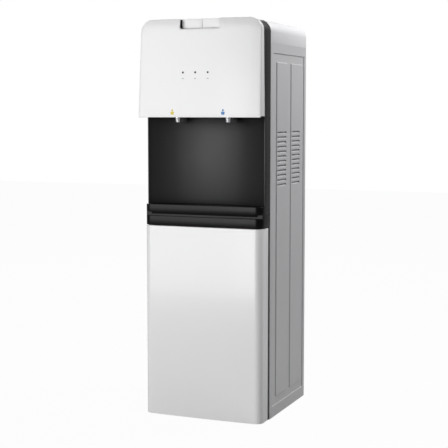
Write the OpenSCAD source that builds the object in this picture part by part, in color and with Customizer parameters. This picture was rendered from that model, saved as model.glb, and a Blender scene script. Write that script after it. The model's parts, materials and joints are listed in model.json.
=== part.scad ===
// Floor-standing water dispenser with a top bottle seat, two taps and a storage cabinet.
// Every module draws in the panel frame: x across from the middle, y back from the side
// panels' front edge, z up from the floor. placed() moves that frame so that the origin is
// on the floor, under the middle of the object's bounding box.

/* [Overall] */
// Width over the two side panels
body_w = 310; // [280:1:360]
// Depth of the side panels, front to back
body_d = 266; // [262:1:320]
// Height of the fascia's top edge above the floor
total_h = 980; // [960:1:1100]
// Height of the feet
foot_h = 3; // [2:0.5:12]
// How far the middle of the fascia stands in front of the side panels
head_reach = 87; // [84:1:100]
// How far the wall spacers stand out behind the side panels
spacer_reach = 7; // [4:1:15]

/* [Shell] */
// Thickness of a pressed side panel, with its relief
panel_t = 3; // [2.5:0.1:4]
// Depth of the side panels' sunk field
field_deep = 1.5; // [0.8:0.1:1.8]
// Thickness of the sheet metal
sheet_t = 1.5; // [0.8:0.1:2]
// Wall thickness of the plastic mouldings
wall_t = 2.5; // [2:0.1:3]
// Height of the top cover, below its flat top
cover_h = 55; // [50:1:70]
// Radius of the head's two upper corners
head_r = 30; // [15:1:40]
// Rows of louvres in each side panel
louvre_rows = 12; // [4:1:14]
// Distance from one row of louvres to the next
louvre_pitch = 11.7; // [9:0.1:14]

/* [Head] */
// Height of the fascia plate
fascia_h = 235; // [225:1:260]
// Width of the fascia plate at its lower edge
fascia_w = 318; // [312:1:330]
// How far the fascia's top edge leans back
fascia_lean = 16; // [8:1:20]
// How far the middle of the fascia bulges forward
fascia_bow = 7; // [4:0.5:12]
// Thickness of the fascia plate
fascia_t = 4; // [3:0.5:5]
// Width of the lid tab's notch in the fascia
notch_w = 103; // [80:1:120]
// Depth of that notch
notch_h = 24; // [18:1:28]

/* [Taps] */
// Distance between the two spouts
tap_gap = 132; // [110:1:160]
// Outer radius of a spout
spout_r = 8; // [6:0.5:8.5]
// Bore radius of a spout
spout_bore_r = 5; // [3:0.5:5.5]
// How far a spout's tip hangs below the fascia
spout_drop = 12; // [6:1:20]
// Travel of a tap paddle in degrees
paddle_travel = 8; // [4:1:8]

/* [Alcove and tray] */
// Height of the cup alcove, from the tray's top to the fascia's lower edge
alcove_h = 213; // [180:1:240]
// How far the alcove's back curves in behind its two wings
alcove_sag = 42; // [30:1:44]
// Height of the drip tray's front lip
lip_h = 19; // [15:1:24]
// Height of the finger groove under the lip
groove_h = 10; // [8:1:14]
// Height of the band under the groove
band_h = 22; // [18:1:40]
// How far the tray and the door stand in front of the side panels
door_reach = 60; // [55:1:70]

/* [Door] */
// Corner radius of the door in plan
door_r = 18; // [10:1:22]
// How far the middle of the door bulges forward
door_bow = 2.5; // [1.5:0.5:5]
// Radius of the door's hinge pins
hinge_r = 2.5; // [1.5:0.5:3]

/* [Tanks] */
// Radius of the cold tank
cold_r = 65; // [50:1:68]
// Height of the cold tank
cold_h = 97; // [80:1:110]
// Radius of the hot tank
hot_r = 50; // [40:1:58]
// Height of the hot tank
hot_h = 130; // [90:1:150]
// Radius of the bottle seat's mouth
seat_r = 80; // [60:1:84]
// Inner radius of the socket for the bottle's neck
neck_r = 33.5; // [30:0.5:40]

/* [Hidden] */
$fn = 96;
eps = 0.01;

// Clearances: a running fit in a bore, a sliding gap and a seam between mouldings
fit = 0.05;
slide_gap = 0.5;
seam = 1;

// Main planes
half_w = body_w / 2;
inner_w = half_w - panel_t;
panel_y = head_reach - (head_reach + body_d + spacer_reach) / 2;
base_z = foot_h;
cover_top = total_h - 2;
cover_z = cover_top - cover_h;
rear_y = body_d - sheet_t;

// Head, alcove, tray and door levels, from the top down
fascia_z = total_h - fascia_h;
lip_top = fascia_z - alcove_h;
lip_z = lip_top - lip_h;
groove_z = lip_z - groove_h;
band_z = groove_z - band_h;
door_top = band_z - 2;
door_z = base_z + 2;

// Base pan and cabinet
base_pan_h = 20;
cabinet_z = base_z + base_pan_h;
cabinet_w = 272;
cabinet_d = 150;
frame_t = 8;
cabinet_top = door_top - 9;

// Alcove arc, through its deepest point and the wings' front edge
alcove_back = 5;
wing_y = alcove_back - alcove_sag;
alcove_r = (half_w * half_w + alcove_sag * alcove_sag) / (2 * alcove_sag);
alcove_cy = alcove_back - alcove_r;
shadow_gap = 9.5;

// Head planes, front to back
head_front = -48;
band_top = total_h - 4;
fascia_r = (pow(fascia_w / 2, 2) + fascia_bow * fascia_bow) / (2 * fascia_bow);
fascia_tilt = atan(fascia_lean / fascia_h);
floor_t = 3;

// Lid and its hinge
lid_half = 100;
lid_t = 3.2;
lid_y = 193;
lid_z = cover_top - 4.5;
lid_pin_r = 1.5;
lid_knuckle_r = 3.2;
well_floor = cover_top - 9;
tab_front = -59;
well_half = lid_half + slide_gap + 1;
well_back = lid_y + lid_knuckle_r + 3;

// Bottle seat and the cold tank under it
tank_y = 100;
neck_len = 48;
seat_drop = 39;
cold_top = well_floor - seat_drop - neck_len - 10;
cold_z = cold_top - cold_h;
foam_t = 8;
shelf_z = cold_z - foam_t - sheet_t;
foam_half = cold_r + 17;
foam_front = tank_y - cold_r - 9;
foam_back = tank_y + cold_r + 13;

// Cooler behind the cold tank
block_half = 25;
cool_z = cold_z + cold_h / 2 + 2;
peltier_t = 4;
sink_y = foam_back + 1;
sink_base = 6;
fin_len = 30;
fan_y = sink_y + sink_base + fin_len;
fan_half = 46;
fan_t = 25;
fan_post_r = 3;

// Hot side, on the chassis deck
deck_z = band_z + 2;
deck_top = deck_z + sheet_t * 2;
hot_y = 110;
stand_h = 34;
hot_z = deck_top + stand_h;
hot_top = hot_z + hot_h;
band_t = 2.5;
jacket_t = 13;

// Silicone hoses: the feed from the cold tank down to the hot one, and one to each tap
hose_r = 5;
hose_bore = 3;
hose_x = 20;
outlet_h = 28;
feed_x = -30;
feed_y = tank_y - 30;

// Taps
tap_x = tap_gap / 2;
tap_y = -50;
tap_r = 13;
tap_top = fascia_z + 41;
tap_body_z = fascia_z + floor_t;
seat_z = tap_body_z + 22;
chamber_r = 9;
stem_r = 2;
stem_top = tap_top + 11;
paddle_y = -22;
paddle_z = fascia_z + 11;
paddle_half = 11;
paddle_pin_r = 1.5;
arm_gap = 1;
inlet_z = seat_z + 8;

// Door
hinge_x = half_w - 9;
hinge_y = -20;
hinge_sweep = 11;
door_back = -9;
door_arc_r = (half_w * half_w + door_bow * door_bow) / (2 * door_bow);

// Rear fittings
switch_x = -95;
switch_z = deck_z + 60;
rocker_r = 8;
rocker_pitch = 24;
rocker_half = 9;
gland_x = 95;
gland_z = deck_z + 40;
drain_z = deck_z + 22;
drain_r = 7;
screw_r = 1.5;

// Side panel relief: sunk field, two raised ribs and two columns of louvres
field_y = [19, body_d - 14];
field_z = [base_z + 27, cover_z - 23];
ribs = [[45, 125], [150, body_d - 26]];
rib_z = [base_z + 47, cover_z - 44];
louvres = [[50, 115], [157, body_d - 48]];
louvre_top = cover_z - 218;

module placed() {
    translate([0, panel_y, 0]) children();
}

// A box from two opposite corners
module block(a, b) {
    translate(a) cube([b[0] - a[0], b[1] - a[1], b[2] - a[2]]);
}

// Runs along x, centred, at (y, z)
module x_rod(r, half, y, z) {
    translate([-half, y, z]) rotate([0, 90, 0]) cylinder(r = r, h = 2 * half);
}

// Runs along y from y0 to y1, at (x, z)
module y_rod(r, y0, y1, x, z) {
    translate([x, y0, z]) rotate([-90, 0, 0]) cylinder(r = r, h = y1 - y0);
}

// Straight runs from each point of a list to the next
module hose_runs(points, r) {
    for (i = [0 : len(points) - 2]) {
        step = points[i + 1] - points[i];
        length = norm(step);
        turn = [0, acos(step[2] / length), atan2(step[1], step[0])];
        translate(points[i]) rotate(turn) cylinder(r = r, h = length, $fn = 32);
    }
}

// A tube through a list of points, with ball corners
module hose(points, r, bore) {
    difference() {
        union() {
            hose_runs(points, r);
            for (i = [1 : len(points) - 2]) {
                back = points[i] - points[i - 1];
                ahead = points[i] - points[i + 1];
                away = back / norm(back) + ahead / norm(ahead);
                translate(points[i]) rotate([0, 0, atan2(away[1], away[0])]) sphere(r = r + 0.4, $fn = 32);
            }
        }
        hose_runs(points, bore);
    }
}

// Front view of the head: straight sides and two round upper corners
module head_outline(half_low, half_high, z0, z1, r) {
    intersection() {
        union() {
            polygon([[-half_low, z0], [half_low, z0], [half_high, z1 - r], [-half_high, z1 - r]]);
            translate([-half_high + r, z1 - r - eps]) square([2 * (half_high - r), r + eps]);
            for (side = [-1, 1]) {
                translate([side * (half_high - r), z1 - r]) circle(r = r);
            }
        }
        translate([-half_low, z0]) square([2 * half_low, z1 - z0]);
    }
}

// Extrudes a front view along y
module along_y(y0, y1) {
    translate([0, y1, 0]) rotate([90, 0, 0]) linear_extrude(height = y1 - y0) children();
}

// ---- Base and outer shell ----

module foot_places() {
    for (x = [-inner_w + 25, inner_w - 25], y = [28, body_d - 32]) {
        translate([x, y, 0]) children();
    }
}

module base_plate() {
    color("dimgray") placed() difference() {
        block([-inner_w, seam, base_z], [inner_w, rear_y - sheet_t, cabinet_z]);
        translate([0, 0, wall_t]) block([-inner_w + wall_t, seam + wall_t, base_z],
            [inner_w - wall_t, rear_y - sheet_t - wall_t, cabinet_z + eps]);
        foot_places() translate([0, 0, base_z - eps]) cylinder(r = 4, h = 10);
    }
}

module feet() {
    color("black") placed() foot_places() {
        cylinder(r = 14, h = foot_h);
        cylinder(r = 4, h = foot_h + wall_t + 3);
    }
}

module side_panel(side) {
    out = side > 0 ? half_w : -half_w;
    function across(deep) = side > 0 ? [out - deep, out] : [out, out + deep];
    body_x = across(panel_t);
    field_x = across(field_deep);
    color("silver") placed() {
        difference() {
            block([body_x[0], 0, base_z], [body_x[1], body_d, cover_z]);
            difference() {
                block([field_x[0] - (side > 0 ? 0 : 1), field_y[0], field_z[0]],
                    [field_x[1] + (side > 0 ? 1 : 0), field_y[1], field_z[1]]);
                for (rib = ribs) {
                    block([body_x[0] - 2, rib[0], rib_z[0]], [body_x[1] + 2, rib[1], rib_z[1]]);
                }
            }
            for (row = [0 : louvre_rows - 1], column = louvres) {
                block([body_x[0] - 1, column[0], louvre_top - row * louvre_pitch],
                    [body_x[1] + 1, column[1], louvre_top + 4.5 - row * louvre_pitch]);
            }
        }
        flange_x = side > 0 ? [inner_w - 12, inner_w] : [-inner_w, -inner_w + 12];
        difference() {
            block([flange_x[0], rear_y, base_z], [flange_x[1], body_d, cover_z]);
            screw_places() y_rod(screw_r, rear_y - 1, body_d + 1, 0, 0);
        }
    }
}

module side_panel_left() side_panel(-1);

module side_panel_right() side_panel(1);

module screw_places() {
    for (x = [-inner_w + 6, inner_w - 6], z = [60, 330, 600, cover_z - 30]) {
        translate([x, 0, z]) children();
    }
}

module rear_panel() {
    fan_r = fan_half - 6;
    color("silver") placed() difference() {
        block([-inner_w, rear_y - sheet_t, base_z], [inner_w, rear_y, cover_z]);
        for (row = [-4 : 4]) {
            reach = sqrt(fan_r * fan_r - pow(row * 9, 2));
            block([-reach, rear_y - 5, cool_z + row * 9 - 2.5], [reach, rear_y + 5, cool_z + row * 9 + 2.5]);
        }
        for (row = [0 : 7], x = [-70, 20]) {
            block([x, rear_y - 5, 600 + row * 12], [x + 50, rear_y + 5, 605 + row * 12]);
        }
        block([switch_x - rocker_pitch, rear_y - 5, switch_z - 10], [switch_x + rocker_pitch, rear_y + 5, switch_z + 10]);
        y_rod(6, rear_y - 5, rear_y + 5, gland_x, gland_z);
        y_rod(drain_r, rear_y - 5, rear_y + 5, 0, drain_z);
        screw_places() y_rod(screw_r, rear_y - 5, rear_y + 5, 0, 0);
    }
}

module rear_screws() {
    color("gainsboro") placed() screw_places() {
        y_rod(screw_r, rear_y - sheet_t - 4, body_d, 0, 0);
        y_rod(4, body_d, body_d + 2, 0, 0);
    }
}

module wall_spacers() {
    color("dimgray") placed() for (x = [-110, 110]) {
        block([x - 9, rear_y, cover_z - 120], [x + 9, body_d + spacer_reach, cover_z - 80]);
    }
}

module cord_gland() {
    color("black") placed() difference() {
        union() {
            y_rod(6, rear_y - sheet_t - 4, body_d, gland_x, gland_z);
            y_rod(9, rear_y, body_d + 3, gland_x, gland_z);
        }
        y_rod(3.4, rear_y - 10, body_d + 10, gland_x, gland_z);
    }
}

module top_cover() {
    color("gainsboro") placed() difference() {
        union() {
            difference() {
                along_y(0, body_d) head_outline(half_w, half_w, cover_z, cover_top, head_r);
                along_y(-1, body_d - wall_t)
                    head_outline(half_w - wall_t, half_w - wall_t, cover_z - 1, cover_top - wall_t, head_r - wall_t);
            }
            block([-well_half - wall_t, 0, well_floor - wall_t], [well_half + wall_t, well_back + wall_t, cover_top - eps]);
        }
        block([-well_half, -1, well_floor], [well_half, well_back, cover_top + 1]);
        translate([0, tank_y, well_floor - 10]) cylinder(r = seat_r, h = 20);
        x_rod(lid_pin_r, lid_half + 3, lid_y, lid_z);
    }
}

// ---- Lid ----

module top_lid() {
    tab_half = notch_w / 2 - seam;
    color("whitesmoke") placed() difference() {
        union() {
            block([-lid_half, slide_gap, cover_top - lid_t], [lid_half, lid_y, cover_top]);
            x_rod(lid_knuckle_r, lid_half, lid_y, lid_z);
            block([-tab_half, tab_front, band_top + slide_gap], [tab_half, 2, total_h]);
            block([-tab_half, tab_front, total_h - notch_h + seam], [tab_half, tab_front + 4, total_h - eps]);
        }
        x_rod(lid_pin_r + fit, lid_half + 1, lid_y, lid_z);
        block([2, tab_front - 1, total_h - notch_h - 1], [3.4, tab_front + 1.2, total_h + 1]);
    }
}

module lid_pin() {
    color("silver") placed() x_rod(lid_pin_r, lid_half + 3, lid_y, lid_z);
}

// ---- Bottle seat and cold side ----

module bottle_seat() {
    low = well_floor - seat_drop;
    color("whitesmoke") placed() translate([0, tank_y, 0]) rotate_extrude() polygon([
        [seat_r + 6, well_floor], [seat_r + 6, well_floor + 2], [seat_r - wall_t, well_floor + 2],
        [seat_r - wall_t, well_floor - 3], [neck_r, low], [neck_r, cold_top],
        [neck_r + wall_t, cold_top], [neck_r + wall_t, low - 1], [seat_r, well_floor - 4],
        [seat_r, well_floor]
    ]);
}

module bottle_spike() {
    tube_r = 9;
    color("white") placed() translate([0, tank_y, 0]) difference() {
        union() {
            translate([0, 0, cold_top]) cylinder(r = neck_r - fit, h = 3);
            translate([0, 0, cold_top]) cylinder(r = tube_r, h = 38);
            translate([0, 0, cold_top + 38]) cylinder(r1 = tube_r, r2 = 4, h = 12);
        }
        translate([0, 0, cold_top - 1]) cylinder(r = tube_r - 2.5, h = 37);
        translate([0, 0, cold_top + 30]) rotate([0, 90, 0]) cylinder(r = 3, h = 4 * tube_r, center = true);
        for (turn = [45 : 90 : 315]) {
            rotate(turn) translate([(neck_r + tube_r) / 2, 0, cold_top - 1]) cylinder(r = 4, h = 6);
        }
    }
}

module tank_shelf() {
    color("silver") placed() difference() {
        union() {
            block([-inner_w, foam_front, shelf_z], [inner_w, foam_back, shelf_z + sheet_t]);
            for (x = [-inner_w, inner_w - sheet_t]) {
                block([x, foam_front, shelf_z - 15], [x + sheet_t, foam_back, shelf_z + sheet_t]);
            }
        }
        for (x = [-110, 110]) {
            translate([x, 60, shelf_z - 1]) cylinder(r = 9, h = 5);
        }
        translate([feed_x, feed_y, shelf_z - 1]) cylinder(r = hose_r + seam, h = 5);
    }
}

module cold_tank() {
    color("silver") placed() translate([0, tank_y, cold_z]) difference() {
        cylinder(r = cold_r, h = cold_h);
        translate([0, 0, sheet_t]) cylinder(r = cold_r - sheet_t, h = cold_h - 2 * sheet_t);
        translate([0, 0, cold_h - 5]) cylinder(r = 29, h = 10);
        rotate([90, 0, 0]) translate([hose_x, outlet_h, 0]) cylinder(r = hose_r, h = 2 * cold_r);
        translate([feed_x, feed_y - tank_y, -1]) cylinder(r = hose_r, h = 5);
    }
}

module insulation() {
    difference() {
        block([-foam_half, foam_front, shelf_z + sheet_t], [foam_half, foam_back, cold_top - 2]);
        translate([0, tank_y, cold_z]) cylinder(r = cold_r + 0.3, h = cold_h + 10);
        block([-block_half - seam, tank_y + 20, cool_z - 27], [block_half + seam, foam_back + 1, cool_z + 27]);
        y_rod(hose_r + seam, foam_front - 5, tank_y - cold_r + 20, hose_x, cold_z + outlet_h);
        translate([feed_x, feed_y, shelf_z]) cylinder(r = hose_r + seam, h = 30);
    }
}

module insulation_front() {
    color("white") placed() intersection() {
        insulation();
        block([-200, foam_front - 1, shelf_z], [200, tank_y, cold_top]);
    }
}

module insulation_back() {
    color("white") placed() intersection() {
        insulation();
        block([-200, tank_y, shelf_z], [200, foam_back + 1, cold_top]);
    }
}

module cold_block() {
    color("lightgray") placed() difference() {
        block([-block_half, tank_y + 30, cool_z - 25], [block_half, sink_y - peltier_t, cool_z + 25]);
        translate([0, tank_y, cold_z - 1]) cylinder(r = cold_r + 0.1, h = cold_h + 2);
    }
}

module peltier_module() {
    color("white") placed()
        block([-20, sink_y - peltier_t, cool_z - 20], [20, sink_y, cool_z + 20]);
}

module heatsink() {
    fins = 13;
    color("lightgray") placed() {
        block([-fan_half - 4, sink_y, cool_z - fan_half], [fan_half + 4, sink_y + sink_base, cool_z + fan_half]);
        for (i = [0 : fins - 1]) {
            x = -fan_half - 4 + i * (2 * fan_half + 6) / (fins - 1);
            block([x, sink_y + sink_base - eps, cool_z - fan_half], [x + 2, fan_y, cool_z + fan_half]);
        }
    }
}

module fan_frame() {
    color("black") placed() {
        difference() {
            block([-fan_half, fan_y, cool_z - fan_half], [fan_half, fan_y + fan_t, cool_z + fan_half]);
            y_rod(fan_half - 3, fan_y - 1, fan_y + fan_t + 1, 0, cool_z);
        }
        y_rod(fan_post_r, fan_y + 6, fan_y + fan_t, 0, cool_z);
        y_rod(17, fan_y + fan_t - 4, fan_y + fan_t, 0, cool_z);
        block([-fan_half + 1, fan_y + fan_t - 3, cool_z - 2], [fan_half - 1, fan_y + fan_t - 1, cool_z + 2]);
        block([-2, fan_y + fan_t - 3, cool_z - fan_half + 1], [2, fan_y + fan_t - 1, cool_z + fan_half - 1]);
    }
}

module fan_rotor() {
    depth = fan_t - 9;
    color("dimgray") placed() translate([0, fan_y + 3, cool_z]) difference() {
        union() {
            y_rod(16, 0, depth, 0, 0);
            for (turn = [0 : 360 / 7 : 359]) {
                rotate([0, turn, 0]) translate([fan_half / 2 + 5, depth / 2, 0]) rotate([35, 0, 0])
                    cube([fan_half - 20, 1.6, depth], center = true);
            }
        }
        y_rod(fan_post_r + fit, -1, depth + 1, 0, 0);
    }
}

// ---- Hot side ----

module board_places() {
    for (x = [65, 135], y = [45, 115]) {
        translate([x, y, 0]) children();
    }
}

module chassis_deck() {
    color("silver") placed() difference() {
        union() {
            block([-inner_w, 12, deck_z], [inner_w, rear_y - sheet_t, deck_z + sheet_t * 2]);
            board_places() translate([0, 0, deck_z]) cylinder(r = 3, h = 8 + sheet_t);
        }
        translate([-110, 60, deck_z - 1]) cylinder(r = 10, h = 6);
    }
}

module hot_tank_stand() {
    color("silver") placed() translate([0, hot_y, deck_top]) difference() {
        cylinder(r = hot_r - 6, h = stand_h);
        translate([0, 0, -1]) cylinder(r = hot_r - 6 - sheet_t, h = stand_h + 2);
        translate([-60, -12, 8]) cube([120, 24, 18]);
        rotate(90) translate([-60, -12, 8]) cube([120, 24, 18]);
    }
}

module hot_tank() {
    color("silver") placed() translate([0, hot_y, hot_z]) difference() {
        cylinder(r = hot_r, h = hot_h);
        translate([0, 0, sheet_t]) cylinder(r = hot_r - sheet_t, h = hot_h - 2 * sheet_t);
        translate([0, 0, hot_h - 5]) cylinder(r = hose_r, h = 10);
        translate([feed_x, 0, hot_h - 5]) cylinder(r = hose_r, h = 10);
        translate([0, 0, -1]) cylinder(r = hose_r, h = 5);
    }
}

module heater_band() {
    color("goldenrod") placed() translate([0, hot_y, hot_z + 15]) difference() {
        cylinder(r = hot_r + band_t, h = 40);
        translate([0, 0, -1]) cylinder(r = hot_r + 0.1, h = 42);
        block([-3, -80, -1], [3, 0, 42]);
    }
}

module hot_jacket() {
    color("gray") placed() translate([0, hot_y, hot_z + 8]) difference() {
        cylinder(r = hot_r + band_t + jacket_t, h = hot_h - 16);
        translate([0, 0, -1]) cylinder(r = hot_r + band_t + 0.2, h = hot_h);
    }
}

module thermostats() {
    color("black") placed() for (x = [18, 38]) {
        translate([x, hot_y, hot_top]) {
            cylinder(r = 8, h = 5);
            for (side = [-4, 4]) {
                translate([side - 1, -1, 0]) cube([2, 2, 12]);
            }
        }
    }
}

module power_board() {
    board_z = deck_z + 8 + sheet_t;
    color("seagreen") placed() {
        block([60, 40, board_z], [140, 120, board_z + 1.6]);
        block([70, 50, board_z + 1.5], [100, 80, board_z + 25]);
        block([108, 52, board_z + 1.5], [122, 70, board_z + 18]);
        for (y = [92, 106]) {
            translate([80, y, board_z + 1.5]) cylinder(r = 6, h = 22);
        }
        block([110, 85, board_z + 1.5], [114, 110, board_z + 30]);
    }
}

// ---- Hoses and drain ----

module cold_hose() {
    color("white") placed() hose([
        [hose_x, tank_y - cold_r + 6, cold_z + outlet_h], [hose_x, 16, cold_z + outlet_h],
        [hose_x, 16, inlet_z], [hose_x, tap_y, inlet_z], [tap_x - tap_r - 9, tap_y, inlet_z]
    ], hose_r, hose_bore);
}

module feed_hose() {
    color("white") placed() hose([
        [feed_x, feed_y, cold_z + 1], [feed_x, feed_y, shelf_z - 45],
        [feed_x, hot_y, shelf_z - 45], [feed_x, hot_y, hot_top - 1]
    ], hose_r, hose_bore);
}

module hot_hose() {
    color("white") placed() hose([
        [0, hot_y, hot_top - 1], [0, hot_y, hot_top + 45], [0, 16, hot_top + 45],
        [0, 16, inlet_z], [0, tap_y, inlet_z], [-tap_x + tap_r + 9, tap_y, inlet_z]
    ], hose_r, hose_bore);
}

module drain_pipe() {
    color("white") placed() difference() {
        union() {
            translate([0, hot_y, drain_z]) cylinder(r = 5, h = hot_z + 1 - drain_z);
            translate([0, hot_y, drain_z]) sphere(r = 7);
            y_rod(5, hot_y, rear_y, 0, drain_z);
            y_rod(drain_r, rear_y - sheet_t - 3, body_d + 1, 0, drain_z);
        }
        translate([0, hot_y, drain_z]) cylinder(r = 3, h = 60);
        translate([0, hot_y, drain_z]) sphere(r = 3.5);
        y_rod(3, hot_y, body_d + 5, 0, drain_z);
    }
}

module drain_cap() {
    color("black") placed() difference() {
        union() {
            y_rod(11, body_d - 0.5, body_d + 5, 0, drain_z);
            y_rod(3 - fit, body_d - 8, body_d + 3, 0, drain_z);
        }
        difference() {
            y_rod(drain_r + fit, body_d - 1, body_d + 1.3, 0, drain_z);
            y_rod(3 - fit, body_d - 2, body_d + 2, 0, drain_z);
        }
    }
}

// ---- Head: fascia, frame, floor, lights ----

// Stands upright behind a surface set back by `inset` from the fascia's curved, leaning front
module behind_fascia(inset) {
    translate([0, -head_reach, fascia_z]) rotate([-fascia_tilt, 0, 0])
        translate([0, fascia_r, -80])
            cylinder(r = fascia_r - inset, h = fascia_h + 160, $fn = 360);
}

module notch_cut(gap) {
    low = total_h - notch_h - gap;
    reach = notch_w / 2 + gap;
    block([-reach, -120, low], [reach, head_front + 1, total_h + 5]);
}

module fascia_plate() {
    half_low = fascia_w / 2;
    half_high = fascia_w / 2 - 2.5;
    color("whitesmoke") placed() difference() {
        intersection() {
            along_y(-120, head_front - 5) head_outline(half_low, half_high, fascia_z, total_h, head_r);
            difference() {
                behind_fascia(0);
                behind_fascia(fascia_t);
            }
        }
        notch_cut(0);
        led_places() y_rod(led_r, -100, -40, 0, 0);
    }
}

led_r = 2.5;
led_z = fascia_z + 107;
led_x = [-39.6, -7.3, 25.1];

module led_places() {
    for (x = led_x) {
        translate([x, 0, led_z]) children();
    }
}

module led_lenses() {
    color("dimgray") placed() intersection() {
        led_places() y_rod(led_r, -100, head_front - 21, 0, 0);
        behind_fascia(-0.4);
    }
}

module led_board() {
    color("seagreen") placed() {
        block([-50, head_front - 21, led_z - 14], [36, head_front - 19.4, led_z + 14]);
        for (x = [-46, 32]) {
            intersection() {
                y_rod(3, -100, head_front - 20, x, led_z);
                behind_fascia(fascia_t + 0.1);
            }
        }
    }
}

module fascia_housing() {
    half_low = fascia_w / 2 - seam;
    half_high = half_low - 2.5;
    color("white") placed() difference() {
        intersection() {
            union() {
                difference() {
                    along_y(-110, head_front)
                        head_outline(half_low, half_high, fascia_z + floor_t, total_h - seam, head_r - seam);
                    along_y(-120, head_front + 5)
                        head_outline(half_low - wall_t, half_high - wall_t, fascia_z - 5,
                            total_h - seam - wall_t, head_r - seam - wall_t);
                }
                block([-notch_w / 2 - wall_t, -110, total_h - notch_h - wall_t],
                    [notch_w / 2 + wall_t, head_front, total_h - seam - eps]);
            }
            behind_fascia(fascia_t + 0.2);
        }
        notch_cut(0);
    }
}

module head_frame() {
    color("black") placed() difference() {
        along_y(head_front, -seam)
            head_outline(half_w, half_w, fascia_z, band_top, head_r - 2);
        along_y(head_front - 1, 5)
            head_outline(half_w - wall_t, half_w - wall_t, fascia_z - 5, band_top - wall_t, head_r - 2 - wall_t);
    }
}

module head_floor() {
    floor_half = inner_w - slide_gap;
    color("black") placed() difference() {
        union() {
            block([-floor_half, head_front - 24, fascia_z], [floor_half, alcove_back + wall_t, fascia_z + floor_t]);
            for (x = [-tap_x, tap_x], side = [-1, 1]) {
                translate([x + side * (paddle_half + 2), paddle_y, fascia_z]) {
                    block([-1.5, -5, 0], [1.5, 5, 11]);
                    translate([0, 0, 11]) rotate([0, 90, 0]) cylinder(r = 5, h = 3, center = true);
                }
            }
        }
        for (x = [-tap_x, tap_x]) {
            translate([x, tap_y, fascia_z - 1]) cylinder(r = spout_r + seam, h = 10);
            block([x - paddle_half - 0.4, paddle_y - 7, fascia_z - 1], [x + paddle_half + 0.4, paddle_y + 10, fascia_z + 8]);
            translate([x, 0, 0]) x_rod(paddle_pin_r, 20, paddle_y, paddle_z);
        }
    }
}

// ---- Taps ----

module tap_bodies() {
    color("black") placed() for (side = [-1, 1]) {
        translate([side * tap_x, tap_y, 0]) difference() {
            union() {
                translate([0, 0, tap_body_z]) cylinder(r = tap_r, h = tap_top - tap_body_z);
                translate([0, 0, inlet_z]) rotate([0, -90 * side, 0]) cylinder(r = 5, h = tap_r + 9);
            }
            translate([0, 0, tap_body_z - 1]) cylinder(r = spout_r, h = 10);
            translate([0, 0, tap_body_z + 8]) cylinder(r = chamber_r, h = seat_z - tap_body_z - 8);
            translate([0, 0, seat_z - 1]) cylinder(r = 5, h = 5);
            translate([0, 0, seat_z + 3]) cylinder(r = chamber_r, h = tap_top - seat_z - 7);
            translate([0, 0, tap_top - 6]) cylinder(r = stem_r + fit, h = 8);
            translate([0, 0, inlet_z]) rotate([0, -90 * side, 0]) cylinder(r = 3, h = tap_r + 10);
        }
    }
}

module spouts() {
    color("silver") placed() for (x = [-tap_x, tap_x]) {
        translate([x, tap_y, fascia_z - spout_drop]) difference() {
            union() {
                cylinder(r1 = spout_r - 1.5, r2 = spout_r - 0.5, h = spout_drop - 2);
                translate([0, 0, spout_drop - 2]) cylinder(r = spout_r, h = floor_t + 10);
            }
            translate([0, 0, -1]) cylinder(r = spout_bore_r, h = spout_drop + floor_t + 20);
        }
    }
}

module plunger(x) {
    color("ivory") placed() translate([x, tap_y, 0]) {
        translate([0, 0, seat_z - 4.2]) cylinder(r = 7.5, h = 4);
        translate([0, 0, seat_z - 2]) cylinder(r = stem_r, h = stem_top - seat_z + 2);
    }
}

module plunger_hot() plunger(-tap_x);

module plunger_cold() plunger(tap_x);

module paddle(x) {
    arm_z = stem_top + arm_gap;
    color("black") placed() translate([x, 0, 0]) difference() {
        union() {
            x_rod(4, paddle_half, paddle_y, paddle_z);
            block([-paddle_half, paddle_y - 3, fascia_z - spout_drop + 1], [paddle_half, paddle_y + 0.5, paddle_z]);
            block([-4, paddle_y - 2, paddle_z], [4, paddle_y + 2, arm_z + 4]);
            block([-4, tap_y - 4, arm_z], [4, paddle_y + 2, arm_z + 4]);
        }
        x_rod(paddle_pin_r + fit, paddle_half + 1, paddle_y, paddle_z);
    }
}

module paddle_hot() paddle(-tap_x);

module paddle_cold() paddle(tap_x);

module tap_pins() {
    color("silver") placed() for (x = [-tap_x, tap_x]) {
        translate([x, 0, 0]) x_rod(paddle_pin_r, paddle_half + 3.5, paddle_y, paddle_z);
    }
}

// ---- Rear switches ----

module rocker_places() {
    for (x = [-rocker_pitch / 2, rocker_pitch / 2]) {
        translate([switch_x + x, rear_y, switch_z]) children();
    }
}

module switch_frame() {
    color("black") placed() difference() {
        union() {
            translate([switch_x, 0, switch_z])
                block([-rocker_pitch - 2, rear_y, -12], [rocker_pitch + 2, rear_y + 3, 12]);
            translate([switch_x, 0, switch_z])
                block([-rocker_pitch, rear_y - 14, -10], [rocker_pitch, rear_y, 10]);
        }
        rocker_places() {
            x_rod(rocker_r + 0.4, rocker_half + 0.4, 0, 0);
            x_rod(1.5 + fit, rocker_half + 1.6, 0, 0);
        }
    }
}

module rocker() {
    x_rod(1.5, rocker_half + 1.5, 0, 0);
    difference() {
        x_rod(rocker_r, rocker_half, 0, 0);
        for (side = [-1, 1]) {
            rotate([side * 10, 0, 0]) block([-20, 5.2, side > 0 ? -20 : 0], [20, 20, side > 0 ? 0 : 20]);
        }
    }
}

module rocker_at(x) {
    color("firebrick") placed() translate([switch_x + x, rear_y, switch_z]) rotate([-10, 0, 0]) rocker();
}

module rocker_hot() rocker_at(-rocker_pitch / 2);

module rocker_cold() rocker_at(rocker_pitch / 2);

// ---- Alcove and drip tray ----

// Plan of everything in front of the alcove's back, set in by `gap`
module alcove_plan(gap) {
    translate([0, alcove_cy]) circle(r = alcove_r - gap, $fn = 360);
}

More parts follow.
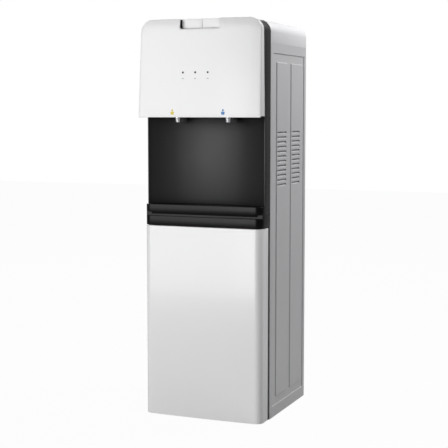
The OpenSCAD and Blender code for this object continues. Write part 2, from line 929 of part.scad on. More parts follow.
module alcove_frame() {
    color("black") placed() translate([0, 0, lip_z]) linear_extrude(height = fascia_z - lip_z) {
        intersection() {
            difference() {
                alcove_plan(-wall_t);
                alcove_plan(0);
            }
            translate([-half_w, wing_y]) square([body_w, 60]);
        }
        for (side = [-1, 1]) {
            translate([side * (half_w - wall_t / 2) - wall_t / 2, wing_y])
                square([wall_t, -wing_y - shadow_gap]);
            translate([side * (half_w - wall_t * 1.5) - wall_t / 2, wing_y + wall_t + 3])
                square([wall_t, -wing_y - wall_t - 3]);
        }
    }
}

// Plan with round front corners, from the door's front plane back to y1
module front_plan(half, y0, y1, r) {
    intersection() {
        union() {
            translate([-half, y0 + r]) square([2 * half, y1 - y0 - r]);
            translate([-half + r, y0]) square([2 * (half - r), r + eps]);
            for (side = [-1, 1]) {
                translate([side * (half - r), y0 + r]) circle(r = r);
            }
        }
        translate([-half, y0]) square([2 * half, y1 - y0]);
    }
}

tray_half = 140;

module tray_surround() {
    color("black") placed() difference() {
        translate([0, 0, band_z]) linear_extrude(height = lip_z - band_z)
            front_plan(half_w, -door_reach, 0, door_r);
        block([-half_w - 1, -door_reach - 1, groove_z], [half_w + 1, -door_reach + 12, lip_z + 1]);
        block([-tray_half - slide_gap, -door_reach, lip_z - 5 - slide_gap], [tray_half + slide_gap, 1, lip_z + 1]);
        block([-half_w + 12, -door_reach + 20, band_z + 3], [half_w - 12, 1, groove_z - 4]);
        translate([hinge_x, hinge_y, band_z - 1]) cylinder(r = hinge_r, h = 10);
    }
}

module drip_tray() {
    back_gap = 1;
    floor_z = lip_z - 5;
    color("black") placed() difference() {
        union() {
            translate([0, 0, lip_z + 0.3]) linear_extrude(height = lip_h - 0.3)
                front_plan(half_w, -door_reach, wing_y - seam, door_r);
            translate([0, 0, lip_z + 0.3]) linear_extrude(height = lip_h - 0.3) intersection() {
                alcove_plan(back_gap);
                translate([-tray_half - 5, -door_reach + 5]) square([2 * tray_half + 10, 80]);
            }
            translate([0, 0, floor_z]) linear_extrude(height = 10) intersection() {
                alcove_plan(back_gap);
                translate([-tray_half, -door_reach + 12.5]) square([2 * tray_half, 80]);
            }
        }
        translate([0, 0, floor_z + 2]) linear_extrude(height = 40) intersection() {
            alcove_plan(back_gap + 3);
            translate([-tray_half + 3, -door_reach + 16]) square([2 * tray_half - 6, 80]);
        }
        translate([0, 0, lip_top - 3]) linear_extrude(height = 5) intersection() {
            alcove_plan(back_gap + 1.5);
            translate([-tray_half + 1, -door_reach + 14]) square([2 * tray_half - 2, 80]);
        }
    }
}

module drip_grille() {
    slot_pitch = 9;
    color("dimgray") placed() translate([0, 0, lip_top - 3]) difference() {
        linear_extrude(height = 2.5) intersection() {
            alcove_plan(1 + 1.5 + slide_gap);
            translate([-tray_half + 1.5, -door_reach + 14.5]) square([2 * tray_half - 3, 80]);
        }
        for (x = [-117 : slot_pitch : 117]) {
            back = alcove_back - x * x / (2 * alcove_r) - 12;
            block([x - 2.5, -door_reach + 20, -1], [x + 2.5, back, 5]);
        }
    }
}

// ---- Cabinet and door ----

module door_frame() {
    opening = cabinet_w / 2;
    color("black") placed() difference() {
        block([-half_w + 2, -frame_t, base_z], [half_w - 2, 0, band_z]);
        block([-opening, -frame_t - 1, cabinet_z + 2], [opening, 1, cabinet_top]);
        block([-opening - 14, -frame_t - 1, 230], [-opening - 6, -frame_t + 4, 260]);
    }
}

module cabinet_liner() {
    outer = cabinet_w / 2 + 2;
    color("white") placed() difference() {
        block([-outer, 0, cabinet_z], [outer, cabinet_d, cabinet_top + 2]);
        block([-outer + 2, -1, cabinet_z + 2], [outer - 2, cabinet_d - 2, cabinet_top]);
    }
}

module catch_magnet() {
    opening = cabinet_w / 2;
    color("dimgray") placed()
        block([-opening - 14, -frame_t - 0.6, 230], [-opening - 6, -frame_t + 4, 260]);
}

// Door in plan, set in by `gap`; the hinge side's back corner is round about the hinge axis
module door_plan(gap) {
    intersection() {
        front_plan(half_w - gap, -door_reach - door_bow + gap, door_back, door_r - gap);
        translate([0, -door_reach - door_bow + door_arc_r]) circle(r = door_arc_r - gap, $fn = 720);
        union() {
            translate([-half_w, -door_reach - 10]) square([half_w + hinge_x, 100]);
            translate([hinge_x - 1, -door_reach - 10]) square([30, hinge_y + door_reach + 10]);
            translate([hinge_x, hinge_y]) circle(r = hinge_sweep - gap);
        }
    }
}

module door_skin() {
    boss_r = 6.4;
    color("whitesmoke") placed() difference() {
        translate([0, 0, door_z]) linear_extrude(height = door_top - door_z) door_plan(0);
        difference() {
            translate([0, 0, door_z + wall_t]) linear_extrude(height = door_top - door_z - 2 * wall_t)
                door_plan(wall_t);
            for (z = [door_z, door_top - 22]) {
                translate([hinge_x, hinge_y, z]) cylinder(r = boss_r, h = 22);
            }
        }
        block([-half_w + 6, door_back - 3, door_z + 6], [half_w - 20, door_back + 1, door_top - 6]);
        translate([hinge_x, hinge_y, door_z - 1]) cylinder(r = hinge_r + fit, h = 15);
        translate([hinge_x, hinge_y, door_top - 14]) cylinder(r = hinge_r + fit, h = 15);
    }
}

module door_inner() {
    color("white") placed() difference() {
        block([-half_w + 6, door_back - 3, door_z + 6], [half_w - 20, door_back, door_top - 6]);
        block([-half_w + 30, door_back - 1, door_z + 30], [half_w - 44, door_back + 1, door_top - 30]);
    }
}

module door_hinges() {
    color("silver") placed() {
        translate([hinge_x, hinge_y, door_top - 12]) cylinder(r = hinge_r, h = band_z + 9 - door_top + 12);
        block([hinge_x - 8, hinge_y - 6, base_z], [hinge_x + 5, -frame_t, base_z + 1.5]);
        translate([hinge_x, hinge_y, base_z]) cylinder(r = hinge_r, h = 12);
    }
}

base_plate();
feet();
side_panel_left();
side_panel_right();
rear_panel();
rear_screws();
wall_spacers();
cord_gland();
door_frame();
cabinet_liner();
tray_surround();
alcove_frame();
head_frame();
head_floor();
fascia_housing();
fascia_plate();
led_lenses();
led_board();
top_cover();
top_lid();
lid_pin();
bottle_seat();
bottle_spike();
tank_shelf();
cold_tank();
insulation_front();
insulation_back();
cold_block();
peltier_module();
heatsink();
fan_frame();
fan_rotor();
chassis_deck();
hot_tank_stand();
hot_tank();
heater_band();
hot_jacket();
thermostats();
power_board();
cold_hose();
feed_hose();
hot_hose();
drain_pipe();
drain_cap();
tap_bodies();
spouts();
plunger_hot();
plunger_cold();
paddle_hot();
paddle_cold();
tap_pins();
switch_frame();
rocker_hot();
rocker_cold();
drip_tray();
drip_grille();
door_skin();
door_inner();
door_hinges();
catch_magnet();
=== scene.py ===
import bpy
import json
import math
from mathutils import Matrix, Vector


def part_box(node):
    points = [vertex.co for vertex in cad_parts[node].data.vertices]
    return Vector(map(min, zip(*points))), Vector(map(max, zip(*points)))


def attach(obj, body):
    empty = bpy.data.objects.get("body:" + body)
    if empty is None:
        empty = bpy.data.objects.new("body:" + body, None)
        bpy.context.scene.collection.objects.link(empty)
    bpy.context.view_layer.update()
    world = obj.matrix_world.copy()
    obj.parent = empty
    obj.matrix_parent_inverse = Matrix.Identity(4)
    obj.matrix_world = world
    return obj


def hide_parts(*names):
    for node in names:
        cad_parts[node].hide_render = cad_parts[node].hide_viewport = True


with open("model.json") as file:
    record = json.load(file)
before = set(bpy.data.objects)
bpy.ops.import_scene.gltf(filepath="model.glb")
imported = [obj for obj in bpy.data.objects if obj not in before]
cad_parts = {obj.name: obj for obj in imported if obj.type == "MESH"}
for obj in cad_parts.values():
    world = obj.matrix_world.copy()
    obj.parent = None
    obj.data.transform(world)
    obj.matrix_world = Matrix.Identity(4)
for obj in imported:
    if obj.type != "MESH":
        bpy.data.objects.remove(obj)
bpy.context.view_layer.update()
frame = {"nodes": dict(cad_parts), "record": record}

mm = 0.001
nodes = frame["nodes"]
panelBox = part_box("side_panel_right")
panelY = panelBox[0][1]                       # the side panels' front edge


# helpers

def toLinear(code):
    parts = [int(code[i:i + 2], 16) / 255 for i in (1, 3, 5)]
    return [c / 12.92 if c <= 0.04045 else ((c + 0.055) / 1.055) ** 2.4 for c in parts] + [1]


def addNode(material, kind, settings=None, links=None):
    tree = material.node_tree
    made = tree.nodes.new(kind)
    for key, value in (settings or {}).items():
        if isinstance(key, str) and hasattr(made, key):
            setattr(made, key, value)
        else:
            made.inputs[key].default_value = value
    for socket, source in (links or {}).items():
        tree.links.new(source, made.inputs[socket])
    return made


def deselect():
    if bpy.context.object and bpy.context.object.mode != "OBJECT":
        bpy.ops.object.mode_set(mode="OBJECT")
    bpy.ops.object.select_all(action="DESELECT")


def activate(obj):
    deselect()
    obj.select_set(True)
    bpy.context.view_layer.objects.active = obj


def editAll(obj, mode="FACE"):
    activate(obj)
    bpy.ops.object.mode_set(mode="EDIT")
    bpy.ops.mesh.select_mode(type=mode)
    bpy.ops.mesh.select_all(action="SELECT")


def selectFaces(obj, test):
    # picks the faces whose middle and normal pass the test, and goes into edit mode
    activate(obj)
    bpy.ops.object.mode_set(mode="EDIT")
    bpy.ops.mesh.select_mode(type="FACE")
    bpy.ops.mesh.select_all(action="DESELECT")
    bpy.ops.object.mode_set(mode="OBJECT")
    for face in obj.data.polygons:
        face.select = test(face.center, face.normal)
    bpy.ops.object.mode_set(mode="EDIT")


def roundCorners(corners, steps=8):
    # corners are (u, v, radius); each radius becomes an arc of points
    points = []
    for i, (u, v, radius) in enumerate(corners):
        here = Vector((u, v))
        if not radius:
            points.append((u, v))
            continue
        before = (Vector(corners[i - 1][:2]) - here).normalized()
        after = (Vector(corners[(i + 1) % len(corners)][:2]) - here).normalized()
        half = before.angle(after) / 2
        middle = here + (before + after).normalized() * radius / math.sin(half)
        start = here + before * radius / math.tan(half) - middle
        end = here + after * radius / math.tan(half) - middle
        turn = start.angle_signed(end)
        for k in range(steps + 1):
            angle = -turn * k / steps
            cos, sin = math.cos(angle), math.sin(angle)
            points.append((middle[0] + start[0] * cos - start[1] * sin,
                           middle[1] + start[0] * sin + start[1] * cos))
    return points


def slab(name, outline, plane, low, high):
    # fills an outline and extrudes it: "xz" runs back along y, "xy" runs up along z
    deselect()
    bpy.ops.mesh.primitive_circle_add(vertices=len(outline), radius=1, fill_type="NGON")
    obj = bpy.context.object
    obj.name = name
    for vertex, (u, v) in zip(obj.data.vertices, outline):
        vertex.co = (u, low, v) if plane == "xz" else (u, v, low)
    editAll(obj)
    run = (0, high - low, 0) if plane == "xz" else (0, 0, high - low)
    bpy.ops.mesh.extrude_region_move(TRANSFORM_OT_translate={"value": run})
    bpy.ops.mesh.select_all(action="SELECT")
    bpy.ops.mesh.normals_make_consistent(inside=False)
    bpy.ops.object.mode_set(mode="OBJECT")
    return obj


def sliceUp(obj, axis, places):
    for place in places:
        editAll(obj)
        at, normal = [0, 0, 0], [0, 0, 0]
        at[axis], normal[axis] = place, 1
        bpy.ops.mesh.bisect(plane_co=at, plane_no=normal)
        bpy.ops.object.mode_set(mode="OBJECT")


def soften(obj, width, segments=3, limit=40):
    activate(obj)
    bevel = obj.modifiers.new("edges", "BEVEL")
    bevel.width, bevel.segments = width, segments
    bevel.limit_method, bevel.angle_limit = "ANGLE", math.radians(limit)
    bpy.ops.object.modifier_apply(modifier=bevel.name)


def finishPiece(obj, material, body, replaced, smooth=35):
    activate(obj)
    bpy.ops.object.transform_apply(location=True, rotation=True, scale=True)
    bpy.ops.object.shade_smooth_by_angle(angle=math.radians(smooth))
    obj.data.materials.clear()
    obj.data.materials.append(material)
    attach(obj, body)
    if replaced:
        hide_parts(*replaced)


def softCopy(node, name, width, material, body="cabinet", segments=3, smooth=35):
    # a CAD piece with its flat faces joined up and its edges rounded, as moulds and presses leave them
    source = nodes[node]
    deselect()
    obj = bpy.data.objects.new(name, source.data.copy())
    bpy.context.scene.collection.objects.link(obj)
    editAll(obj, "VERT")
    bpy.ops.mesh.remove_doubles(threshold=0.00001)
    bpy.ops.mesh.dissolve_limited(angle_limit=math.radians(1))
    bpy.ops.object.mode_set(mode="OBJECT")
    soften(obj, width, segments)
    finishPiece(obj, material, body, [node], smooth)
    return obj


# materials

def surface(name, code, rough, metal=0.0, coat=0.0, grainMm=0.0, grainDeep=0.0, tint=0.03, patchMm=90,
            sheen=0.0, shine=0.5):
    # colour and roughness drift over broad patches; a fine grain gives the moulded or painted texture
    material = bpy.data.materials.new(name)
    material.use_nodes = True
    shader = material.node_tree.nodes["Principled BSDF"]
    colour = toLinear(code)
    shader.inputs["Metallic"].default_value = metal
    shader.inputs["Coat Weight"].default_value = coat
    shader.inputs["Sheen Weight"].default_value = sheen
    shader.inputs["Specular IOR Level"].default_value = shine
    place = addNode(material, "ShaderNodeTexCoord")
    patch = addNode(material, "ShaderNodeTexNoise", {"Scale": 1 / (patchMm * mm), "Detail": 3.0},
                    {"Vector": place.outputs["Object"]})
    ramp = addNode(material, "ShaderNodeValToRGB", links={"Fac": patch.outputs["Fac"]})
    ramp.color_ramp.elements[0].position, ramp.color_ramp.elements[1].position = 0.35, 0.65
    ramp.color_ramp.elements[0].color = [c * (1 - tint) for c in colour[:3]] + [1]
    ramp.color_ramp.elements[1].color = colour
    material.node_tree.links.new(ramp.outputs["Color"], shader.inputs["Base Color"])
    spread = addNode(material, "ShaderNodeMapRange", {"To Min": rough * 0.9, "To Max": min(rough * 1.12, 1)},
                     {"Value": patch.outputs["Fac"]})
    material.node_tree.links.new(spread.outputs["Result"], shader.inputs["Roughness"])
    if grainMm:
        grain = addNode(material, "ShaderNodeTexNoise", {"Scale": 1 / (grainMm * mm), "Detail": 2.0},
                        {"Vector": place.outputs["Object"]})
        bump = addNode(material, "ShaderNodeBump", {"Strength": 0.35, "Distance": grainDeep * mm},
                       {"Height": grain.outputs["Fac"]})
        material.node_tree.links.new(bump.outputs["Normal"], shader.inputs["Normal"])
    return material


def brushed(name, code, rough, lineMm, axis=2):
    # drawn or rolled metal: fine lines along one axis
    material = surface(name, code, rough, metal=1.0, tint=0.06)
    shader = material.node_tree.nodes["Principled BSDF"]
    place = addNode(material, "ShaderNodeTexCoord")
    stretch = [1.0, 1.0, 1.0]
    stretch[axis] = 0.02
    mapping = addNode(material, "ShaderNodeMapping", {"Scale": stretch}, {"Vector": place.outputs["Object"]})
    lines = addNode(material, "ShaderNodeTexNoise", {"Scale": 1 / (lineMm * mm), "Detail": 2.0},
                    {"Vector": mapping.outputs["Vector"]})
    bump = addNode(material, "ShaderNodeBump", {"Strength": 0.3, "Distance": 0.05 * mm},
                   {"Height": lines.outputs["Fac"]})
    material.node_tree.links.new(bump.outputs["Normal"], shader.inputs["Normal"])
    return material


# polished ABS, moulded: near-white with a soft even sheen
glossWhite = surface("moulded white ABS", "#ECECED", 0.26,
                     coat=0.15, grainMm=3.5, grainDeep=0.012, tint=0.01, patchMm=220)
# ABS with a fine spark texture on its mould: light grey and satin
satinGrey = surface("textured grey ABS", "#DCDCDE", 0.48, grainMm=0.9, grainDeep=0.04, tint=0.015)
# powder coat on pressed steel: light grey, faint orange peel
powderGrey = surface("powder coated steel", "#C6C6C8", 0.38,
                     grainMm=2.2, grainDeep=0.03, tint=0.02, patchMm=160)
# black ABS, satin mould finish
satinBlack = surface("satin black ABS", "#19191B", 0.4, grainMm=1.1, grainDeep=0.03, tint=0.05, shine=0.3)
# black ABS, polished mould finish
glossBlack = surface("polished black ABS", "#060607", 0.26, grainMm=6, grainDeep=0.008, tint=0.05, shine=0.14)
# natural and carbon-black rubber
footRubber = surface("black rubber", "#1B1B1C", 0.8, grainMm=1.5, grainDeep=0.08)
# zinc-coated sheet: spangled grey metal
zincSheet = surface("galvanised steel", "#9FA3A6", 0.38,
                    metal=1.0, grainMm=7, grainDeep=0.02, tint=0.12, patchMm=14)
# plated fasteners and pins
platedSteel = brushed("zinc plated steel", "#B4B5B8", 0.3, 0.6, axis=1)
# deep-drawn stainless steel
drawnSteel = brushed("drawn stainless steel", "#C2C2C0", 0.28, 0.8)
# extruded aluminium
rawAluminium = brushed("extruded aluminium", "#CACCCE", 0.36, 0.7)
# bright chrome plate
chromePlate = surface("chrome plate", "#D6D7D9", 0.12, metal=1.0, tint=0.02)
# alumina faces of the cooling module
alumina = surface("ground alumina", "#E8E6DF", 0.55, grainMm=0.6, grainDeep=0.02)
# expanded polystyrene: bead texture of about 3 mm
beadFoam = surface("expanded polystyrene", "#EDEDEA", 0.75, grainMm=3, grainDeep=0.35)
# vacuum-formed polystyrene liner
linerWhite = surface("vacuum formed liner", "#E6E6E4", 0.4, grainMm=2.5, grainDeep=0.03)
# closed-cell foam
cellFoam = surface("closed cell foam", "#5A5C5E", 0.85, grainMm=2, grainDeep=0.2)
# mica and brass heater band
micaBand = surface("mica heater band", "#A58A55", 0.4, metal=0.7, grainMm=2, grainDeep=0.05)
# glass-fibre board under green solder mask
boardGreen = surface("solder mask board", "#17522C", 0.35,
                     coat=0.3, grainMm=1.2, grainDeep=0.05, tint=0.2, patchMm=4)
# phenolic switch body
phenolic = surface("moulded phenolic", "#1E1A18", 0.5, grainMm=1, grainDeep=0.03)
# cured silicone
siliconeWhite = surface("milky silicone", "#D8D6CF", 0.5, grainMm=2, grainDeep=0.03, sheen=0.1)
# ferrite strip
ferriteGrey = surface("ferrite strip", "#2B2927", 0.6, grainMm=1, grainDeep=0.05)
rockerRed = surface("red polycarbonate", "#A81F1B", 0.2, coat=0.3)
rockerGreen = surface("green polycarbonate", "#1F7A36", 0.2, coat=0.3)
# printed and unlit marks
lensRed = surface("red brown lens", "#2A0E0A", 0.3, shine=0.15)
lensAmber = surface("grey amber lens", "#423D36", 0.3, shine=0.15)
lensGreen = surface("dark green lens", "#081C12", 0.3, shine=0.15)
yellowInk = surface("yellow printing ink", "#D9C52B", 0.4)
blueInk = surface("blue printing ink", "#2E79B8", 0.4)
greyInk = surface("grey printing ink", "#4A4A4C", 0.4)
print("materials made")

slotFinish = {
    "white_plastic": glossWhite, "grey_steel": powderGrey, "cover_plastic": satinGrey,
    "black_plastic": satinBlack, "black_gloss": glossBlack, "rubber": footRubber, "zinc_steel": zincSheet,
    "screw_steel": platedSteel,
    "stainless": drawnSteel, "aluminium": rawAluminium, "ceramic": alumina, "foam_white": beadFoam,
    "foam_grey": cellFoam, "mica_band": micaBand, "board": boardGreen, "bakelite": phenolic,
    "silicone": siliconeWhite, "lens": lensRed, "chrome_tip": chromePlate, "rocker_red": rockerRed,
    "rocker_green": rockerGreen, "ferrite": ferriteGrey,
}
for part in frame["record"]["subparts"]:
    obj = nodes[part["node"]]
    finish = slotFinish[part["material_slot"]]
    obj.data.materials.clear()
    obj.data.materials.append(finish)


# camera, light and floor

cameraSpot = {"place": (1.1085, -2.6977, 0.7604), "pitch": 5.62, "yaw": 22.42, "lens": 92.3}
deselect()
bpy.ops.object.camera_add(location=cameraSpot["place"])
camera = bpy.context.object
camera.rotation_euler = (math.radians(90 - cameraSpot["pitch"]), 0, math.radians(cameraSpot["yaw"]))
camera.data.lens = cameraSpot["lens"]
camera.data.sensor_width = 36
camera.data.clip_end = 50
bpy.context.scene.camera = camera

lamps = {                                     # place, what it points at, size in metres, watts
    "key": ((-1.5, -2.9, 1.0), (0, 0, 0.4), 2.0, 55),
    "front": ((-0.4, -3.6, 0.7), (0, 0, 0.2), 1.4, 20),
    "side": ((1.1, 0.75, 1.95), (0.15, 0.0, 0.75), 0.5, 26),
    "top": ((0.2, 0.6, 2.6), (0, 0, 0.9), 1.2, 12),
    "back": ((-1.4, 2.4, 1.6), (0, 0, 0.6), 1.4, 22),
}
for name, (place, target, size, power) in lamps.items():
    bpy.ops.object.light_add(type="AREA", location=place)
    lamp = bpy.context.object
    lamp.name = name + " lamp"
    lamp.data.size, lamp.data.energy = size, power
    lamp.rotation_euler = (Vector(target) - Vector(place)).to_track_quat("-Z", "Y").to_euler()

world = bpy.context.scene.world or bpy.data.worlds.new("studio")
bpy.context.scene.world = world
world.use_nodes = True
world.node_tree.nodes.clear()
ray = world.node_tree.nodes.new("ShaderNodeLightPath")
seen = world.node_tree.nodes.new("ShaderNodeMath")
seen.operation = "MAXIMUM"
strength = world.node_tree.nodes.new("ShaderNodeMapRange")
strength.inputs["To Min"].default_value = 0.16
strength.inputs["To Max"].default_value = 1.0
sky = world.node_tree.nodes.new("ShaderNodeBackground")
sky.inputs["Color"].default_value = (1, 1, 1, 1)
out = world.node_tree.nodes.new("ShaderNodeOutputWorld")
join = world.node_tree.links.new
join(ray.outputs["Is Camera Ray"], seen.inputs[0])
join(ray.outputs["Is Transmission Ray"], seen.inputs[1])
glint = world.node_tree.nodes.new("ShaderNodeMath")
glint.operation = "MULTIPLY_ADD"              # reflections see a dimmer studio than the camera does
join(ray.outputs["Is Glossy Ray"], glint.inputs[0])
glint.inputs[1].default_value = 0.12
join(seen.outputs[0], glint.inputs[2])
join(glint.outputs[0], strength.inputs["Value"])
join(strength.outputs["Result"], sky.inputs["Strength"])
join(sky.outputs["Background"], out.inputs["Surface"])

bpy.ops.mesh.primitive_plane_add(size=16, location=(0, 0, 0))
floor = bpy.context.object
floor.name = "studio_floor"
floorPaint = bpy.data.materials.new("pale studio floor")
floorPaint.use_nodes = True
floorShader = floorPaint.node_tree.nodes["Principled BSDF"]
floorShader.inputs["Base Color"].default_value = toLinear("#A8A8A8")
floorShader.inputs["Roughness"].default_value = 0.9
floorGlow = addNode(floorPaint, "ShaderNodeEmission", {"Strength": 1.0})
floorRay = addNode(floorPaint, "ShaderNodeLightPath")
floorPass = addNode(floorPaint, "ShaderNodeMath", {"operation": "MAXIMUM"},
                    {0: floorRay.outputs["Is Camera Ray"], 1: floorRay.outputs["Is Transmission Ray"]})
floorSeen = addNode(floorPaint, "ShaderNodeMath", {"operation": "MULTIPLY_ADD", 1: 0.2},
                    {0: floorRay.outputs["Is Glossy Ray"], 2: floorPass.outputs[0]})
floorMix = addNode(floorPaint, "ShaderNodeMath", {"operation": "MULTIPLY", 1: 0.97},
                   {0: floorSeen.outputs[0]})
mixed = addNode(floorPaint, "ShaderNodeMixShader",
                links={0: floorMix.outputs[0], 1: floorShader.outputs[0], 2: floorGlow.outputs[0]})
floorOut = floorPaint.node_tree.nodes["Material Output"]
floorPaint.node_tree.links.new(mixed.outputs[0], floorOut.inputs["Surface"])
floor.data.materials.append(floorPaint)
bpy.context.scene.view_settings.view_transform = "Standard"
print("camera, lamps and floor ready")


# door

door = {"corner": 18 * mm, "bow": 2.5 * mm, "edge": 1.6 * mm, "rim": 7 * mm, "recess": 3 * mm,
        "pinInset": 9 * mm, "pinAhead": 20 * mm, "sweep": 11 * mm, "sweepTurn": 54.9}
low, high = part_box("door_skin")
half = high[0]
frontY, backY = low[1] + door["bow"], high[1]
pinX, pinY = half - door["pinInset"], panelY - door["pinAhead"]
outline = [(-half, backY)]
for k in range(9):                            # the back corner clears the frame as it turns about the pin
    turn = math.radians(k * door["sweepTurn"] / 8)
    outline.append((pinX + door["sweep"] * math.sin(turn), pinY + door["sweep"] * math.cos(turn)))
corners = roundCorners([
    (half, pinY, 0), (half, frontY, door["corner"]), (-half, frontY, door["corner"]), (-half, pinY, 0)], 12)
corners = corners[1:-1]
split = len(corners) // 2
outline += corners[:split]
for k in range(1, 24):                        # the bowed front between the two round corners
    x = (half - door["corner"]) * (1 - k / 12)
    outline.append((x, frontY))
outline += corners[split:]
bowFrom = pinY - 20 * mm                      # only what lies ahead of this bows
outline = [(x, y - door["bow"] * (1 - (x / half) ** 2) if y < bowFrom else y) for x, y in outline]
doorSkin = slab("door_panel", outline, "xy", low[2], high[2])
selectFaces(doorSkin, lambda at, way: way[1] > 0.99)
bpy.ops.mesh.inset(thickness=door["rim"])
bpy.ops.mesh.extrude_region_move(TRANSFORM_OT_translate={"value": (0, -door["recess"], 0)})
bpy.ops.object.mode_set(mode="OBJECT")
soften(doorSkin, door["edge"])
finishPiece(doorSkin, glossWhite, "door", ["door_skin"])
softCopy("door_inner", "door_lining", 1 * mm, linerWhite, "door")
print("door made")


# fascia

fascia = {"corner": 30 * mm, "edge": 1.2 * mm, "thick": 4 * mm, "bow": 7 * mm, "lean": 16 * mm,
          "taper": 2.5 * mm, "notchHalf": 51.5 * mm, "notchDeep": 24 * mm, "across": 40, "up": 8}
low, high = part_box("fascia_plate")
wide, top, base = high[0], high[2], low[2]
narrow = wide - fascia["taper"]
notch = fascia["notchHalf"]
sill = top - fascia["notchDeep"]
outline = roundCorners([
    (wide, base, 2 * mm), (narrow, top, fascia["corner"]), (notch, top, 1.5 * mm), (notch, sill, 5 * mm),
    (-notch, sill, 5 * mm), (-notch, top, 1.5 * mm), (-narrow, top, fascia["corner"]),
    (-wide, base, 2 * mm)], 10)
fasciaPlate = slab("fascia_front", outline, "xz", 0, fascia["thick"])
sliceUp(fasciaPlate, 0, [wide * (2 * k / fascia["across"] - 1) for k in range(1, fascia["across"])])
sliceUp(fasciaPlate, 2, [base + (top - base) * k / fascia["up"] for k in range(1, fascia["up"])])


def fasciaSurface(x, z):
    # y of the fascia's front: bowed across, and leaning back towards its top edge
    rise = (z - base) / (top - base)
    return low[1] + fascia["bow"] * (x / wide) ** 2 + fascia["lean"] * (0.8 * rise + 0.2 * rise ** 2)


for vertex in fasciaPlate.data.vertices:
    vertex.co.y += fasciaSurface(vertex.co.x, vertex.co.z)
soften(fasciaPlate, fascia["edge"])
finishPiece(fasciaPlate, glossWhite, "cabinet", ["fascia_plate"])
fasciaSide = softCopy("fascia_housing", "fascia_side", 0.6 * mm, glossWhite)
# a second material, satin black, carries the painted shade in the lid tab's pocket
fasciaSide.data.materials.append(satinBlack)
paintedShadeReach = 3 * mm
for face in fasciaSide.data.polygons:         # painted shade: the faces in and just around the lid tab's pocket take satin black, standing in for the shade in the gap
    if abs(face.center[0]) < notch + paintedShadeReach and face.center[2] > sill - paintedShadeReach:
        face.material_index = 1
print("fascia made")

# indicator lenses: low domes that stand just proud of the fascia
printed = {"thick": 0.3 * mm, "proud": 0.12 * mm, "edge": 0.05 * mm}
dashSize = {"half": 2.4 * mm, "low": 15 * mm, "high": 13.9 * mm, "corner": 0.3 * mm}
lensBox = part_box("led_lenses")
lensZ = (lensBox[0][2] + lensBox[1][2]) / 2
lensR = (lensBox[1][2] - lensBox[0][2]) / 2
lensX = [lensBox[0][0] + lensR, 0, lensBox[1][0] - lensR]
lensX[1] = (lensX[0] + lensX[2]) / 2
for x, paint, mark in zip(lensX, (lensRed, lensAmber, lensGreen), ("red", "amber", "green")):
    deselect()
    bpy.ops.mesh.primitive_cylinder_add(
        vertices=40, radius=lensR, depth=5 * mm, rotation=(math.radians(90), 0, 0),
        location=(x, fasciaSurface(x, lensZ) + 2 * mm, lensZ))
    lens = bpy.context.object
    lens.name = mark + "_lens"
    bpy.ops.object.transform_apply(location=True, rotation=True, scale=True)
    soften(lens, 0.45 * mm, 4, 60)
    finishPiece(lens, paint, "cabinet", ["led_lenses"] if mark == "red" else [])
    deselect()                                # a short printed dash under each lens
    left, right = x - dashSize["half"], x + dashSize["half"]
    under, over = lensZ - dashSize["low"], lensZ - dashSize["high"]
    dash = slab(mark + "_dash", roundCorners([
        (left, under, dashSize["corner"]), (right, under, dashSize["corner"]),
        (right, over, dashSize["corner"]), (left, over, dashSize["corner"])], 3), "xz", 0, printed["thick"])
    for vertex in dash.data.vertices:
        vertex.co.y += fasciaSurface(vertex.co.x, vertex.co.z) - printed["proud"]
    soften(dash, printed["edge"], 1, 60)
    finishPiece(dash, greyInk, "cabinet", [])

# a cup under a drop marks each tap: a plain sign, printed
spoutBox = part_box("spouts")
halfGap = 66 * mm                             # from the middle to each tap's axis
tapX = (spoutBox[1][0] + spoutBox[0][0]) / 2 + halfGap
cupSign = {"bottom": 6.5 * mm, "high": 7 * mm, "top": 5 * mm, "foot": 3.8 * mm, "drop": 2.4 * mm,
           "dropUp": 3 * mm, "dropTip": 4.4 * mm}
for side, ink, mark in ((-1, yellowInk, "hot"), (1, blueInk, "cold")):
    x, z = side * tapX, base + cupSign["bottom"]
    cupLine = roundCorners([
        (x - cupSign["foot"], z, 0.8 * mm), (x + cupSign["foot"], z, 0.8 * mm),
        (x + cupSign["top"], z + cupSign["high"], 0.4 * mm),
        (x - cupSign["top"], z + cupSign["high"], 0.4 * mm)], 4)
    dropZ = z + cupSign["high"] + cupSign["dropUp"]
    dropLine = [(x, dropZ + cupSign["dropTip"])]
    for k in range(17):
        angle = math.radians(150 + 240 * k / 16)
        dropLine.append((x + cupSign["drop"] * math.cos(angle), dropZ + cupSign["drop"] * math.sin(angle)))
    for line, kind in ((cupLine, "cup"), (dropLine, "drop")):
        sign = slab(mark + "_" + kind + "_sign", line, "xz", 0, printed["thick"])
        for vertex in sign.data.vertices:
            vertex.co.y += fasciaSurface(vertex.co.x, vertex.co.z) - printed["proud"]
        soften(sign, printed["edge"], 1, 60)
        finishPiece(sign, ink, "cabinet", [])
print("lenses and signs made")


# side panels: pressed sheet with a sunk field, raised ribs and louvres

sheet = {"deep": 2 * mm, "rise": 2 * mm, "slope": 1.6 * mm, "fold": 11 * mm, "edge": 3 * mm, "tongue": 6 * mm,
         "thick": 1 * mm, "rows": 12, "pitch": 11.7 * mm, "slot": 6.2 * mm, "slotEdge": 0.3 * mm,
         "fieldFront": 19 * mm, "fieldBack": 14 * mm, "fieldFoot": 27 * mm, "fieldTop": 23 * mm,
         "ribFoot": 47 * mm, "ribTop": 44 * mm, "louvreDrop": 213.5 * mm}
low, high = panelBox
yField = [panelY + sheet["fieldFront"], high[1] - sheet["fieldBack"]]
zField = [low[2] + sheet["fieldFoot"], high[2] - sheet["fieldTop"]]
ribs = [[panelY + 45 * mm, panelY + 125 * mm], [panelY + 150 * mm, high[1] - 26 * mm]]
zRib = [low[2] + sheet["ribFoot"], high[2] - sheet["ribTop"]]
columns = [[panelY + 50 * mm, panelY + 115 * mm], [panelY + 157 * mm, high[1] - 48 * mm]]
louvreTop = high[2] - sheet["louvreDrop"]
